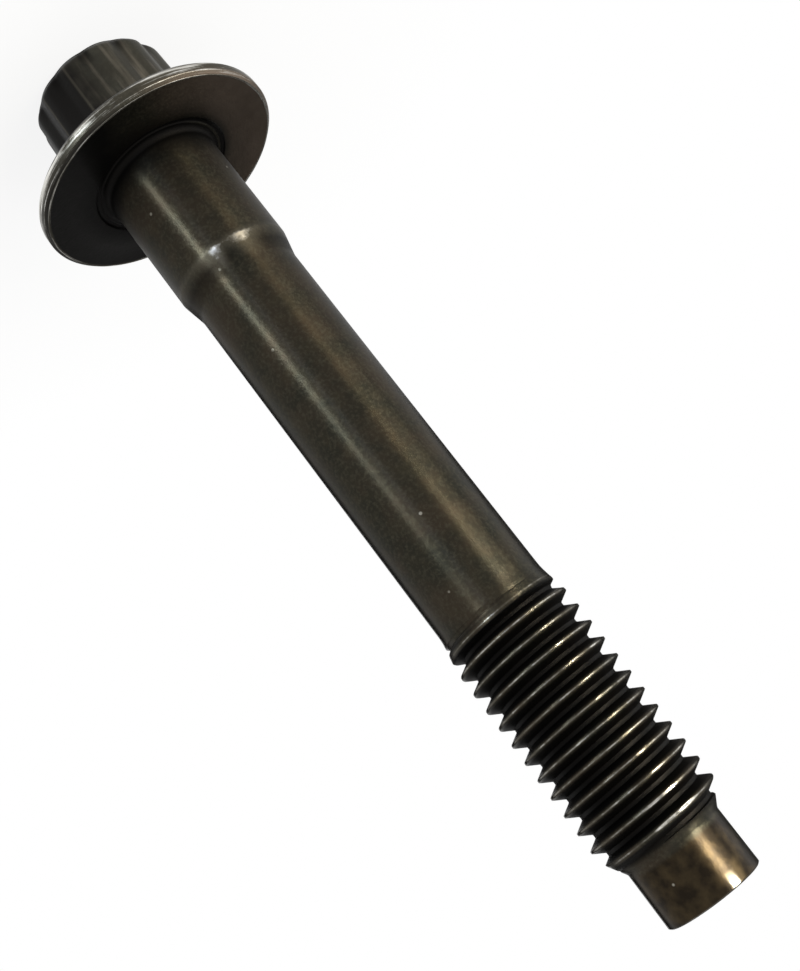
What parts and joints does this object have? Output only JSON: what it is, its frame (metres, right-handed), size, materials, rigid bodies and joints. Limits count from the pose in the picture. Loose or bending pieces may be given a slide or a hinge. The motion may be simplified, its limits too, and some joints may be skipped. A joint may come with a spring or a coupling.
{
  "type": "wheel hub bolt",
  "caption": "Flanged hub bolt with a double-hexagon head, washer flange, ground shoulder, reduced shank, rolled thread and plain pilot tip.",
  "frame": {"origin": "centre of the flat end of the head, on which the bolt stands", "axes": "+Z along the bolt's axis from the head to the pilot tip; +X is an arbitrary radial direction, and a point of the head lies 6.8 degrees from it towards +Y"},
  "size_m": [0.0252, 0.0252, 0.0939],
  "materials": {
    "dark_steel": "black-oxide steel with a brown oily patina, worn bright on the flange's rim and the thread's crests"
  },
  "bodies": {
    "root": {"hub_bolt": "dark_steel"}
  },
  "joints": []
}
